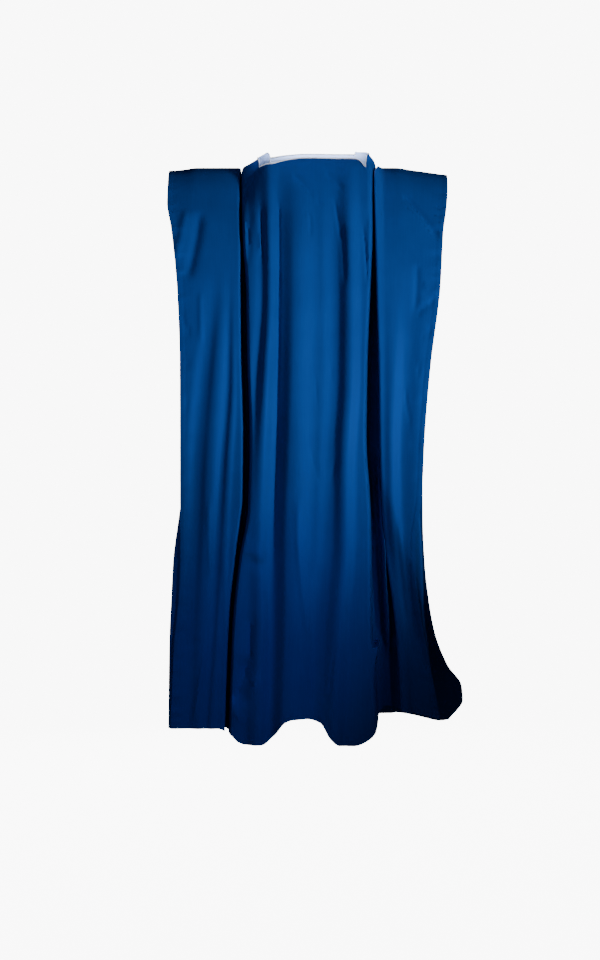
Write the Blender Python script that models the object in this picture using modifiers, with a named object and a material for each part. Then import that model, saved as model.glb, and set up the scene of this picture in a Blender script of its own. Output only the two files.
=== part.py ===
"""Grand boubou: a very wide robe, worn, with its long sleeves folded up on the shoulders.

The wearer faces -Y, +X is the wearer's left, and the origin is at the top of the shoulders.
Every piece is an open sheet of rows and columns, made into cloth by Solidify.
"""
import math

import bpy
from mathutils import Vector

for thing in list(bpy.data.objects):
    bpy.data.objects.remove(thing, do_unlink=True)

# Cloth
WALL = 0.0014
BAND_WALL = 0.0012
SEAM_GAP = 0.0004
BAND_LIFT = 0.0006

# Folded sleeve: three layers, joined by two round folds
FOLD_RADIUS = 0.0048
# How far the seam between panel and sleeve lies below the outer cloth
SEAM_DEPTH_TOP = 0.012
SEAM_DEPTH = 0.050
# Width over which a panel rounds in to its seam
EDGE_RUN = 0.013
EDGE_RUN_TOP = 0.009

# Neck opening: its edges on the shoulder line and at the back, by side
NECK_MIDDLE = -0.0070
NECK_TOP = {1: 0.0900, -1: -0.1040}
NECK_BACK = {1: 0.0785, -1: -0.0985}
NECK_DROP_BACK = 0.0740
NECK_DROP_FRONT = 0.2700
BAND_WIDTH = 0.0250
# Outer edges of the band, on the shoulder line and at the back, by side
BAND_TOP = {1: 0.1060, -1: -0.1300}
BAND_BACK = {1: 0.1000, -1: -0.1200}
BAND_DROP_BACK = 0.0915
BAND_TIP = 0.0350

# Distance along the cloth from the shoulder line, for each row of the mesh
ALONG = (
    0.0, 0.014, 0.030, 0.049, 0.074, 0.0830, 0.0915, 0.120, 0.155, 0.192, 0.235, 0.270,
    0.305, 0.350, 0.410, 0.480, 0.560, 0.645, 0.730, 0.815, 0.895, 0.980, 1.060, 1.130,
    1.180, 1.220, 1.2517,
)

# Side view of the cloth. Columns: along, y and z over the sleeve, y and z in the middle
BACK_PROFILE = (
    (0.0000, 0.000, 0.000, 0.000, 0.0280),
    (0.0204, 0.020, -0.004, 0.020, 0.0270),
    (0.0455, 0.042, -0.016, 0.046, 0.0225),
    (0.0717, 0.060, -0.035, 0.070, 0.0140),
    (0.0992, 0.075, -0.058, 0.090, -0.002),
    (0.1292, 0.088, -0.085, 0.104, -0.032),
    (0.1587, 0.100, -0.112, 0.115, -0.066),
    (0.1938, 0.112, -0.145, 0.124, -0.106),
    (0.2508, 0.127, -0.200, 0.134, -0.168),
    (0.3215, 0.137, -0.270, 0.142, -0.250),
    (0.4317, 0.143, -0.380, 0.149, -0.372),
    (0.6017, 0.147, -0.550, 0.154, -0.550),
    (0.8517, 0.150, -0.800, 0.158, -0.800),
    (1.2517, 0.152, -1.200, 0.162, -1.200),
)
FRONT_PROFILE = (
    (0.0000, 0.000, 0.000, 0.000, 0.0280),
    (0.0204, -0.020, -0.003, -0.020, 0.0270),
    (0.0455, -0.043, -0.012, -0.044, 0.0215),
    (0.0717, -0.064, -0.028, -0.066, 0.009),
    (0.0992, -0.083, -0.048, -0.085, -0.011),
    (0.1292, -0.100, -0.073, -0.103, -0.036),
    (0.1587, -0.113, -0.099, -0.118, -0.063),
    (0.1938, -0.125, -0.132, -0.131, -0.099),
    (0.2508, -0.138, -0.188, -0.145, -0.160),
    (0.3215, -0.145, -0.258, -0.153, -0.241),
    (0.4317, -0.149, -0.368, -0.157, -0.360),
    (0.6017, -0.150, -0.538, -0.158, -0.538),
    (0.8517, -0.151, -0.788, -0.158, -0.788),
    (1.2517, -0.152, -1.188, -0.160, -1.188),
)

# Where the raised neck slope runs out to the flat shoulder. Columns: from, to
SLOPE = {"left": (0.076, 0.150), "right": (0.122, 0.160)}

# How far the shoulders slope down at their ends. Columns: x, drop
SHOULDER_DROP = (
    (-0.296, 0.0155),
    (-0.250, 0.0088),
    (-0.220, 0.0048),
    (-0.187, 0.0000),
    (0.235, 0.0000),
    (0.265, 0.0040),
    (0.295, 0.0068),
)
# How much further down the back of the neck lies than in its middle. Columns: x, distance
NECK_SAG = (
    (-0.1370, 0.0000),
    (-0.1310, 0.0120),
    (-0.1260, 0.0210),
    (-0.1200, 0.0240),
    (-0.1120, 0.0140),
    (-0.1030, 0.0050),
    (-0.0900, 0.0030),
    (-0.0600, 0.0020),
    (-0.0100, 0.0000),
    (0.0120, 0.0010),
    (0.0330, 0.0050),
    (0.0550, 0.0100),
    (0.0780, 0.0170),
    (0.1000, 0.0070),
    (0.1280, 0.0000),
)

# Panel side edges. Columns: z, left edge, right edge
BACK_EDGES = (
    (0.00, 0.1405, -0.1460),
    (-0.05, 0.1402, -0.1372),
    (-0.09, 0.1400, -0.1362),
    (-0.17, 0.1372, -0.1362),
    (-0.27, 0.1290, -0.1316),
    (-0.42, 0.1260, -0.1240),
    (-0.58, 0.1210, -0.1212),
    (-0.73, 0.1250, -0.1300),
    (-0.83, 0.1425, -0.1318),
    (-0.93, 0.1555, -0.1330),
    (-1.03, 0.1620, -0.1390),
    (-1.20, 0.1690, -0.1460),
)
FRONT_EDGES = (
    (0.00, 0.1405, -0.1460),
    (-0.15, 0.1380, -0.1360),
    (-0.40, 0.1280, -0.1270),
    (-0.70, 0.1260, -0.1290),
    (-0.95, 0.1420, -0.1380),
    (-1.20, 0.1560, -0.1480),
)

# Sleeve folds, as distance from the middle. Columns: z, inner fold, outer fold, free hem
LEFT_BACK = (
    (0.00, 0.1430, 0.2880, 0.2950),
    (-0.08, 0.1430, 0.2870, 0.2944),
    (-0.14, 0.1425, 0.2760, 0.2840),
    (-0.20, 0.1400, 0.2680, 0.2760),
    (-0.28, 0.1396, 0.2610, 0.2690),
    (-0.42, 0.1380, 0.2560, 0.2635),
    (-0.58, 0.1338, 0.2550, 0.2626),
    (-0.71, 0.1353, 0.2615, 0.2624),
    (-0.75, 0.1400, 0.2665, 0.2620),
    (-0.80, 0.1465, 0.2735, 0.2615),
    (-0.83, 0.1500, 0.2768, 0.2617),
    (-0.92, 0.1600, 0.2812, 0.2650),
    (-1.01, 0.1650, 0.2849, 0.2735),
    (-1.20, 0.1710, 0.2872, 0.2820),
)
RIGHT_BACK = (
    (0.00, 0.1490, 0.2890, 0.2965),
    (-0.05, 0.1400, 0.2860, 0.2935),
    (-0.09, 0.1385, 0.2820, 0.2890),
    (-0.14, 0.1390, 0.2740, 0.2812),
    (-0.27, 0.1410, 0.2650, 0.2720),
    (-0.43, 0.1455, 0.2450, 0.2520),
    (-0.58, 0.1478, 0.2330, 0.2395),
    (-0.70, 0.1510, 0.2290, 0.2337),
    (-0.80, 0.1590, 0.2345, 0.2210),
    (-0.87, 0.1665, 0.2370, 0.2215),
    (-0.95, 0.1760, 0.2380, 0.2290),
    (-1.04, 0.1840, 0.2475, 0.2430),
    (-1.20, 0.1930, 0.2660, 0.2720),
)
LEFT_FRONT = (
    (0.00, 0.1430, 0.2880, 0.2950),
    (-0.10, 0.1430, 0.2840, 0.2900),
    (-0.28, 0.1400, 0.2610, 0.2670),
    (-0.58, 0.1380, 0.2530, 0.2590),
    (-0.83, 0.1500, 0.2700, 0.2640),
    (-1.20, 0.1680, 0.2900, 0.2830),
)
RIGHT_FRONT = (
    (0.00, 0.1490, 0.2890, 0.2965),
    (-0.10, 0.1400, 0.2840, 0.2900),
    (-0.28, 0.1410, 0.2650, 0.2700),
    (-0.58, 0.1450, 0.2560, 0.2500),
    (-0.75, 0.1500, 0.2565, 0.2440),
    (-0.85, 0.1550, 0.2606, 0.2430),
    (-0.925, 0.1600, 0.2684, 0.2470),
    (-0.996, 0.1660, 0.2810, 0.2560),
    (-1.066, 0.1720, 0.3090, 0.2680),
    (-1.116, 0.1750, 0.3420, 0.2780),
    (-1.150, 0.1770, 0.3455, 0.2830),
    (-1.188, 0.1800, 0.3150, 0.2860),
)

# Height of the hem across the robe. Columns: x, z
BACK_HEM = (
    (-0.350, -1.160),
    (-0.267, -1.159),
    (-0.242, -1.155),
    (-0.225, -1.151),
    (-0.193, -1.148),
    (-0.165, -1.138),
    (-0.152, -1.145),
    (-0.135, -1.192),
    (-0.094, -1.212),
    (-0.065, -1.211),
    (-0.045, -1.196),
    (-0.025, -1.165),
    (0.005, -1.157),
    (0.030, -1.158),
    (0.047, -1.164),
    (0.068, -1.190),
    (0.095, -1.211),
    (0.135, -1.211),
    (0.160, -1.190),
    (0.185, -1.178),
    (0.350, -1.178),
)
FRONT_HEM = (
    (-0.350, -1.196),
    (-0.315, -1.200),
    (-0.295, -1.203),
    (-0.260, -1.196),
    (-0.215, -1.186),
    (-0.150, -1.182),
    (-0.070, -1.194),
    (0.000, -1.186),
    (0.080, -1.195),
    (0.160, -1.184),
    (0.350, -1.180),
)

# Hanging folds of the panels. Columns: height, half width, then x at each level
FOLD_LEVELS = (-0.10, -0.30, -0.46, -0.63, -0.79, -0.96, -1.20)
BACK_FOLDS = (
    (0.009, 0.028, 0.080, 0.077, 0.086, 0.096, 0.102, 0.098, 0.106),
    (-0.012, 0.030, 0.061, 0.060, 0.062, 0.068, 0.073, 0.073, 0.080),
    (0.010, 0.048, 0.022, 0.022, 0.027, 0.026, 0.028, 0.031, 0.037),
    (-0.012, 0.030, -0.047, -0.051, -0.051, -0.042, -0.037, -0.021, -0.010),
    (0.012, 0.030, -0.085, -0.087, -0.085, -0.076, -0.075, -0.062, -0.052),
)
FRONT_FOLDS = (
    (0.012, 0.028, 0.104, 0.100, 0.098, 0.098, 0.102, 0.108, 0.116),
    (-0.016, 0.030, 0.064, 0.060, 0.056, 0.056, 0.060, 0.066, 0.072),
    (0.012, 0.034, 0.020, 0.014, 0.008, 0.006, 0.008, 0.010, 0.012),
    (-0.016, 0.030, -0.050, -0.048, -0.050, -0.054, -0.056, -0.056, -0.056),
    (0.012, 0.028, -0.100, -0.098, -0.098, -0.098, -0.102, -0.106, -0.112),
)
# Hanging folds of the sleeves, as distance from the middle
LEFT_FOLDS = (
    (-0.006, 0.026, 0.190, 0.196, 0.216, 0.230, 0.234, 0.240, 0.246),
    (0.004, 0.022, 0.172, 0.178, 0.186, 0.199, 0.208, 0.218, 0.226),
    (-0.003, 0.018, 0.160, 0.162, 0.164, 0.176, 0.186, 0.196, 0.206),
)
RIGHT_FOLDS = (
    (-0.005, 0.030, 0.222, 0.214, 0.202, 0.194, 0.196, 0.206, 0.222),
    (0.004, 0.024, 0.182, 0.176, 0.174, 0.170, 0.176, 0.186, 0.202),
)
# Folds grow from flat at the first height to full at the second
FOLDS_GROW = (-0.02, -0.26)
SLEEVE_FOLDS_GROW = (-0.20, -0.52)

# Curl of the right sleeve's front rim. Columns: z, height
RIM_CURL = (
    (-0.76, 0.0),
    (-0.86, 0.0120),
    (-0.95, 0.0320),
    (-1.03, 0.0460),
    (-1.09, 0.0320),
    (-1.13, 0.0100),
    (-1.17, 0.0),
)


def smooth(value):
    """A soft step from 0 to 1."""
    t = min(1.0, max(0.0, value))
    return t * t * (3.0 - 2.0 * t)


def read(table, column, key):
    """The value of a column at a key, on a smooth line through the table's rows."""
    rows = sorted(table)
    if key <= rows[0][0]:
        return rows[0][column]
    if key >= rows[-1][0]:
        return rows[-1][column]
    i = max(k for k in range(len(rows) - 1) if rows[k][0] <= key)

    def slope(k):
        if k == 0 or k == len(rows) - 1:
            a, b = (0, 1) if k == 0 else (k - 1, k)
            return (rows[b][column] - rows[a][column]) / (rows[b][0] - rows[a][0])
        before = (rows[k][column] - rows[k - 1][column]) / (rows[k][0] - rows[k - 1][0])
        after = (rows[k + 1][column] - rows[k][column]) / (rows[k + 1][0] - rows[k][0])
        if before * after <= 0.0:
            return 0.0
        return 2.0 * before * after / (before + after)

    span = rows[i + 1][0] - rows[i][0]
    t = (key - rows[i][0]) / span
    a, b = rows[i][column], rows[i + 1][column]
    return (
        a * (2 * t**3 - 3 * t**2 + 1)
        + slope(i) * span * (t**3 - 2 * t**2 + t)
        + b * (3 * t**2 - 2 * t**3)
        + slope(i + 1) * span * (t**3 - t**2)
    )


def raised(x):
    """1 on the raised neck slope and 0 out on the shoulder."""
    start, end = SLOPE["left"] if x >= 0.0 else SLOPE["right"]
    return 1.0 - smooth((abs(x) - start) / (end - start))


def fold_height(folds, x, z, grow=FOLDS_GROW):
    """How far the hanging folds move the cloth out at this place."""
    total = 0.0
    for height, half_width, *places in folds:
        path = tuple(zip(FOLD_LEVELS, places))
        away = (x - read(path, 1, z)) / half_width
        if abs(away) < 1.0:
            total += height * 0.5 * (1.0 + math.cos(math.pi * away))
    start, full = grow
    return total * smooth((start - z) / (start - full))


def base(profile, x, along):
    """The cloth before its folds: y and z at this distance along."""
    share = raised(x)
    y = read(profile, 1, along) * (1.0 - share) + read(profile, 3, along) * share
    z = read(profile, 2, along) * (1.0 - share) + read(profile, 4, along) * share
    z -= read(SHOULDER_DROP, 1, x) * (1.0 - smooth(along / 0.9))
    return y, z


def neck_sag(x, along):
    """The extra distance down the back beside the neck."""
    near = smooth(along / 0.07) * (1.0 - smooth((along - 0.10) / 0.25))
    return read(NECK_SAG, 1, x) * near


def outward(profile, x, along):
    """The direction out of the cloth, as y and z."""
    if along < 0.002:
        return 0.0, 1.0
    y0, z0 = base(profile, x, along - 0.002)
    y1, z1 = base(profile, x, along + 0.002)
    size = math.hypot(y1 - y0, z1 - z0)
    turn = 1.0 if profile is BACK_PROFILE else -1.0
    return -turn * (z1 - z0) / size, turn * (y1 - y0) / size


def place(profile, hem, x, along, out):
    """A point of the cloth: x across, along from the shoulder, out from the surface."""
    y, z = base(profile, x, along)
    ny, nz = outward(profile, x, along)
    end = profile[-1][2]
    low = smooth((-z - 0.75) / 0.40)
    z += (read(hem, 1, x) - end) * low * z / end
    return Vector((x, y + ny * out, z + nz * out))


def seam_depth(along):
    """How far in the panel's side seam lies."""
    return SEAM_DEPTH_TOP + (SEAM_DEPTH - SEAM_DEPTH_TOP) * smooth(along / 0.20)


def rounded_edge(edge, side, along):
    """Places round a panel's edge in to its seam: x, out and share of the folds."""
    run = EDGE_RUN_TOP + (EDGE_RUN - EDGE_RUN_TOP) * smooth(along / 0.15)
    for k in range(EDGE_STEPS + 1):
        angle = 0.5 * math.pi * k / EDGE_STEPS
        out = -seam_depth(along) * (1.0 - math.cos(angle))
        yield edge - side * run * (1.0 - math.sin(angle)), out, math.cos(angle)


EDGE_STEPS = 4


def neck_side(side, along, front):
    """x of the neck opening's edge."""
    top = NECK_TOP[side]
    if front:
        return top + (NECK_MIDDLE - top) * min(1.0, along / NECK_DROP_FRONT)
    return top + (NECK_BACK[side] - top) * smooth(along / NECK_DROP_BACK)


def panel_row(profile, hem, edges, folds, along, marks):
    """One row of a panel: rounded edge, the marked places across, rounded edge."""
    z = read(profile, 2, along)
    row = []
    left = list(rounded_edge(read(edges, 1, z), 1, along))
    right = list(rounded_edge(read(edges, 2, z), -1, along))
    across = [(x, 0.0, 1.0) for x in marks(left[0][0], right[0][0])]
    for x, out, share in left[:0:-1] + across + right[1:]:
        out += fold_height(folds, x, z) * share
        sag = neck_sag(x, along) if profile is BACK_PROFILE else 0.0
        row.append(place(profile, hem, x, along + sag, out))
    return row


def spread(start, end, count):
    """Places from start to just before end, in even steps."""
    return [start + (end - start) * k / count for k in range(count)]


BACK_NECK_COLUMNS = 14
BAND_COLUMNS = 2
FRONT_SIDE_COLUMNS = 7


def back_marks(along):
    """Places across the back: shoulder, band, neck, band, shoulder."""
    def marks(left, right):
        inner = [neck_side(side, along, False) for side in (1, -1)]
        lean = smooth(along / BAND_DROP_BACK)
        outer = [BAND_TOP[side] + (BAND_BACK[side] - BAND_TOP[side]) * lean for side in (1, -1)]
        ease = smooth((along - 0.10) / 0.35)
        outer = [outer[0] + (0.098 - outer[0]) * ease, outer[1] + (-0.103 - outer[1]) * ease]
        inner = [inner[0] + (0.074 - inner[0]) * ease, inner[1] + (-0.078 - inner[1]) * ease]
        outer = [min(outer[0], left - 0.0015), max(outer[1], right + 0.0015)]
        return (
            spread(left, outer[0], 1)
            + spread(outer[0], inner[0], BAND_COLUMNS)
            + spread(inner[0], inner[1], BACK_NECK_COLUMNS)
            + spread(inner[1], outer[1], BAND_COLUMNS)
            + spread(outer[1], right, 1)
            + [right]
        )
    return marks


BAND_TILT = math.hypot(1.0, NECK_TOP[1] / NECK_DROP_FRONT)


def front_marks(along):
    """Places across the front: side, band, V edge or middle, band, side."""
    def marks(left, right):
        places = []
        ease = smooth((along - NECK_DROP_FRONT - BAND_TIP) / 0.25)
        for side, edge in ((1, left), (-1, right)):
            inner = neck_side(side, along, True)
            width = abs(BAND_TOP[side] - NECK_TOP[side])
            width += (BAND_WIDTH * BAND_TILT - width) * smooth(along / 0.12)
            past = max(0.0, along - NECK_DROP_FRONT) / BAND_TIP
            width *= 1.0 - 0.55 * min(1.0, past)
            width += (0.034 - width) * ease
            outer = inner + side * width
            half = spread(edge, outer, FRONT_SIDE_COLUMNS) + spread(outer, inner, BAND_COLUMNS)
            places.append(half)
        middle = neck_side(1, along, True)
        return places[0] + [middle] + list(reversed(places[1]))
    return marks


def quads(rows, missing=()):
    """Faces of a grid of rows, without the missing cells."""
    width = len(rows[0])
    return [
        (j * width + i, (j + 1) * width + i, (j + 1) * width + i + 1, j * width + i + 1)
        for j in range(len(rows) - 1)
        for i in range(width - 1)
        if (j, i) not in missing
    ]


def material(name, colour, roughness):
    """A cloth material with its colour and roughness."""
    made = bpy.data.materials.new(name)
    made.use_nodes = True
    shader = made.node_tree.nodes["Principled BSDF"]
    shader.inputs["Base Color"].default_value = (*colour, 1.0)
    shader.inputs["Roughness"].default_value = roughness
    shader.inputs["Metallic"].default_value = 0.0
    return made


ROBE = bpy.data.collections.new("grand boubou robe")
bpy.context.scene.collection.children.link(ROBE)


def cloth(name, rows, faces, wall, made):
    """A named sheet of cloth with its wall."""
    points = [point for row in rows for point in row]
    used = sorted({k for face in faces for k in face})
    new = {k: n for n, k in enumerate(used)}
    mesh = bpy.data.meshes.new(name)
    mesh.from_pydata([points[k] for k in used], [], [tuple(new[k] for k in f) for f in faces])
    mesh.update()
    piece = bpy.data.objects.new(name, mesh)
    ROBE.objects.link(piece)
    mesh.materials.append(made)
    solid = piece.modifiers.new("wall", "SOLIDIFY")
    solid.thickness = wall
    solid.offset = 0.0
    solid.use_even_offset = False
    return piece


def lower_turn(x, z):
    """How far the lower back of the right sleeve turns in, below a slanting line."""
    line = -0.611 - (x - 0.156) * 2.9
    return 0.034 * smooth((line - z) * 0.325 / 0.120)


def rim_curl(x, z):
    """How far the rim of the right sleeve's front curls back towards the wearer."""
    return read(RIM_CURL, 1, z) * min(max((x - 0.228) / 0.070, 0.0), 1.0) ** 2


def sleeve_section(profile, hem, side, table, folds, edge, along, turned=None):
    """One row across a folded sleeve, from the seam to the free hem."""
    z = read(profile, 2, along)
    radius = FOLD_RADIUS
    inner, outer, free = (read(table, column, z) for column in (1, 2, 3))
    seam = abs(edge)
    depth = seam_depth(along)
    layer_1, layer_2 = -4.0 * radius, -2.0 * radius
    bottom = -depth - 0.004
    rise = inner + 0.022
    path = [
        (seam, -depth - SEAM_GAP),
        (seam + 0.0022, bottom + 0.0004),
        (seam + 0.0065, bottom),
        (inner + 0.010, bottom + 0.62 * (layer_1 - bottom)),
        (rise, layer_1 - 0.001),
    ]
    path += [(rise + (outer - radius - rise) * t, layer_1) for t in (0.35, 0.7, 1.0)]
    for angle in (45, 90, 135):
        turn = math.radians(angle)
        path.append((outer - radius + radius * math.sin(turn), -3.0 * radius - radius * math.cos(turn)))
    path += [
        (outer - radius + (inner + radius - outer + radius) * t, layer_2)
        for t in (0.0, 0.25, 0.5, 0.75, 1.0)
    ]
    for angle in (45, 90, 135):
        turn = math.radians(angle)
        path.append((inner + radius - radius * math.sin(turn), -radius - radius * math.cos(turn)))
    path += [
        (inner + radius + (free - inner - radius) * t, 0.0)
        for t in (0.0, 0.14, 0.28, 0.42, 0.56, 0.70, 0.85, 1.0)
    ]
    row = []
    for n, (x, out) in enumerate(path):
        share = smooth((x - inner - 0.002) / 0.02)
        out += fold_height(folds, x, z, SLEEVE_FOLDS_GROW) * share
        if turned is not None and n > 2:
            out -= turned(x, place(profile, hem, side * x, along, 0.0).z) * (0.93 if n == 3 else 1.0)
        row.append(place(profile, hem, side * x, along, out))
    return row


robe_blue = material("blue polished cotton", (0.002, 0.068, 0.262), 0.42)
band_white = material("white cotton band", (0.500, 0.610, 0.800), 0.60)

# Back and front panels
back_rows = [
    panel_row(BACK_PROFILE, BACK_HEM, BACK_EDGES, BACK_FOLDS, along, back_marks(along))
    for along in ALONG
]
front_rows = [
    panel_row(FRONT_PROFILE, FRONT_HEM, FRONT_EDGES, FRONT_FOLDS, along, front_marks(along))
    for along in ALONG
]
for rows, way in ((back_rows, 1.0), (front_rows, -1.0)):
    for point in rows[0]:
        point.y += way * 0.5 * SEAM_GAP

NECK_ROW = ALONG.index(0.074)
BAND_ROW = ALONG.index(0.0915)
V_ROW = ALONG.index(0.270)
TIP_ROW = ALONG.index(0.305)
band_left = EDGE_STEPS + 1
neck_left = band_left + BAND_COLUMNS
neck_right = neck_left + BACK_NECK_COLUMNS
band_right = neck_right + BAND_COLUMNS
notch = {(j, i) for j in range(NECK_ROW) for i in range(neck_left, neck_right)}
cloth("back_panel", back_rows, quads(back_rows, notch), WALL, robe_blue)

# The front's middle column is doubled above the point of the V
middle = EDGE_STEPS + FRONT_SIDE_COLUMNS + BAND_COLUMNS
for along, row in zip(ALONG, front_rows):
    z = read(FRONT_PROFILE, 2, along)
    x = neck_side(-1, along, True)
    out = fold_height(FRONT_FOLDS, x, z)
    second = place(FRONT_PROFILE, FRONT_HEM, x, along, out)
    if along == 0.0:
        second.y -= 0.5 * SEAM_GAP
    row.insert(middle + 1, second)
width = len(front_rows[0])
front_faces = []
for j in range(len(front_rows) - 1):
    for i in range(width - 1):
        if i == middle:
            continue
        corners = [(j, i), (j + 1, i), (j + 1, i + 1), (j, i + 1)]
        ids = []
        for row, column in corners:
            if row >= V_ROW and column == middle + 1:
                column = middle
            ids.append(row * width + column)
        front_faces.append(tuple(ids))
front_faces = [tuple(reversed(face)) for face in front_faces]
cloth("front_panel", front_rows, front_faces, WALL, robe_blue)

# Sleeves, each one length from the back hem over the shoulder to the front hem
for name, side, back_table, front_table, folds, column, back_turn, front_turn in (
    ("sleeve_left", 1, LEFT_BACK, LEFT_FRONT, LEFT_FOLDS, 1, None, None),
    ("sleeve_right", -1, RIGHT_BACK, RIGHT_FRONT, RIGHT_FOLDS, 2, lower_turn, rim_curl),
):
    rows = []
    for along in reversed(ALONG):
        edge = read(BACK_EDGES, column, read(BACK_PROFILE, 2, along))
        rows.append(
            sleeve_section(BACK_PROFILE, BACK_HEM, side, back_table, folds, edge, along, back_turn)
        )
    for along in ALONG[1:]:
        edge = read(FRONT_EDGES, column, read(FRONT_PROFILE, 2, along))
        rows.append(
            sleeve_section(FRONT_PROFILE, FRONT_HEM, side, front_table, folds, edge, along, front_turn)
        )
    faces = quads(rows)
    if side > 0:
        faces = [tuple(reversed(face)) for face in faces]
    cloth(name, rows, faces, WALL, robe_blue)


# Neck band, made from the panels' own points and moved out
def moved_out(rows, distance):
    """The rows moved out along the cloth's own direction."""
    new = []
    for j, row in enumerate(rows):
        line = []
        for i, point in enumerate(row):
            down = rows[min(j + 1, len(rows) - 1)][i] - rows[max(j - 1, 0)][i]
            across = row[min(i + 1, len(row) - 1)] - row[max(i - 1, 0)]
            line.append(point + down.cross(across).normalized() * distance)
        new.append(line)
    return new


BAND_OUT = 0.5 * WALL + BAND_LIFT + 0.5 * BAND_WALL
back_out = moved_out(back_rows, BAND_OUT)
front_out = moved_out(front_rows, -BAND_OUT)


def pull(row, end, towards, distance):
    """Moves the point at one end of a row a little along the row."""
    row[end] = row[end] + (row[towards] - row[end]).normalized() * distance


back_piece = [row[neck_left:neck_right + 1] for row in back_out[NECK_ROW:BAND_ROW + 1]]
for row in back_piece:
    pull(row, 0, 1, 0.5 * SEAM_GAP)
    pull(row, -1, -2, 0.5 * SEAM_GAP)
cloth("neck_band_back", back_piece, quads(back_piece), BAND_WALL, band_white)

for name, back_from, front_from, end, towards in (
    ("neck_band_left", band_left, middle - BAND_COLUMNS, -1, -2),
    ("neck_band_right", neck_right, middle + 1, 0, 1),
):
    back_strip = [row[back_from:back_from + BAND_COLUMNS + 1] for row in back_out]
    front_strip = [row[front_from:front_from + BAND_COLUMNS + 1] for row in front_out]
    ridge = [(a + b) / 2.0 for a, b in zip(back_strip[0], front_strip[0])]
    strip = back_strip[BAND_ROW:0:-1] + [ridge] + front_strip[1:TIP_ROW + 1]
    for row in strip:
        pull(row, end, towards, 1.5 * SEAM_GAP)
    faces = [tuple(reversed(face)) for face in quads(strip)]
    cloth(name, strip, faces, BAND_WALL, band_white)
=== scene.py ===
"""Grand boubou: the finished cloth, neck band, hems and stitching on the robe's frame.

The wearer faces -Y, +X is the wearer's left, and the origin is at the top of the shoulders.
"""
import math

import bpy
import numpy as np
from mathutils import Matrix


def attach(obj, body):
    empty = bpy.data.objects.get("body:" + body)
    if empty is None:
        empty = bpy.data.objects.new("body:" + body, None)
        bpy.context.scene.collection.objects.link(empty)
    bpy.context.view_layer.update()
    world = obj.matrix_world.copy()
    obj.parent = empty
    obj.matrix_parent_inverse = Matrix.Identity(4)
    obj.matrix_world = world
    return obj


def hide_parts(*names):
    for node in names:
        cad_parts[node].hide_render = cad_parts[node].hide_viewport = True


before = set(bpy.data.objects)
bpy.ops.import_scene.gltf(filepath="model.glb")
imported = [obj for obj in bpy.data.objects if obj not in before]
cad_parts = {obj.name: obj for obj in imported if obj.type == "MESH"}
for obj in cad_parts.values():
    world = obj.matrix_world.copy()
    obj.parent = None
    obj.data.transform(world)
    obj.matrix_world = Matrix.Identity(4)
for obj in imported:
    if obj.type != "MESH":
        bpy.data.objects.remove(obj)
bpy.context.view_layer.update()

# Sizes of the cloth and its seams
CLOTH = 0.0009
BAND_CLOTH = 0.0011
BAND_OUT = 0.0018
SEAM_GAP = 0.0004
FOLD_RADIUS = 0.0048
SEAM_DEPTH_TOP = 0.011
SEAM_DEPTH = 0.050
EDGE_RUN = 0.008
EDGE_RUN_TOP = 0.007
HEM_WIDTH = 0.012

# Neck opening: its edges on the shoulder line and at the back, by side
NECK_MIDDLE = -0.0070
NECK_TOP = {1: 0.0900, -1: -0.1040}
NECK_BACK = {1: 0.0785, -1: -0.0985}
NECK_DROP_BACK = 0.0740
NECK_DROP_FRONT = 0.2700
BAND_WIDTH = 0.0250
# Outer edges of the band, on the shoulder line and at the back, by side
BAND_TOP = {1: 0.1060, -1: -0.1300}
BAND_BACK = {1: 0.1000, -1: -0.1200}
BAND_DROP_BACK = 0.0915
BAND_TIP = 0.0350

# Distance along the cloth from the shoulder line, for the main rows
ALONG = (
    0.0, 0.014, 0.030, 0.049, 0.074, 0.0830, 0.0915, 0.120, 0.155, 0.192, 0.235, 0.270,
    0.305, 0.350, 0.410, 0.480, 0.560, 0.645, 0.730, 0.815, 0.895, 0.980, 1.060, 1.130,
    1.180, 1.220, 1.2517,
)

# Side view of the cloth. Columns: along, y and z over the sleeve, y and z in the middle
BACK_PROFILE = (
    (0.0000, 0.000, 0.000, 0.000, 0.0280),
    (0.0204, 0.020, -0.004, 0.020, 0.0270),
    (0.0455, 0.042, -0.016, 0.046, 0.0225),
    (0.0717, 0.060, -0.035, 0.070, 0.0140),
    (0.0992, 0.075, -0.058, 0.090, -0.002),
    (0.1292, 0.088, -0.085, 0.104, -0.032),
    (0.1587, 0.100, -0.112, 0.115, -0.066),
    (0.1938, 0.112, -0.145, 0.124, -0.106),
    (0.2508, 0.127, -0.200, 0.134, -0.168),
    (0.3215, 0.137, -0.270, 0.142, -0.250),
    (0.4317, 0.143, -0.380, 0.149, -0.372),
    (0.6017, 0.147, -0.550, 0.154, -0.550),
    (0.8517, 0.150, -0.800, 0.158, -0.800),
    (1.2517, 0.152, -1.200, 0.162, -1.200),
)
FRONT_PROFILE = (
    (0.0000, 0.000, 0.000, 0.000, 0.0280),
    (0.0204, -0.020, -0.003, -0.020, 0.0270),
    (0.0455, -0.043, -0.012, -0.044, 0.0215),
    (0.0717, -0.064, -0.028, -0.066, 0.009),
    (0.0992, -0.083, -0.048, -0.085, -0.011),
    (0.1292, -0.100, -0.073, -0.103, -0.036),
    (0.1587, -0.113, -0.099, -0.118, -0.063),
    (0.1938, -0.125, -0.132, -0.131, -0.099),
    (0.2508, -0.138, -0.188, -0.145, -0.160),
    (0.3215, -0.145, -0.258, -0.153, -0.241),
    (0.4317, -0.149, -0.368, -0.157, -0.360),
    (0.6017, -0.150, -0.538, -0.158, -0.538),
    (0.8517, -0.151, -0.788, -0.158, -0.788),
    (1.2517, -0.152, -1.188, -0.160, -1.188),
)

# Where the raised neck slope runs out to the flat shoulder. Columns: from, to
SLOPE = {"left": (0.076, 0.150), "right": (0.122, 0.160)}

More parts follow.
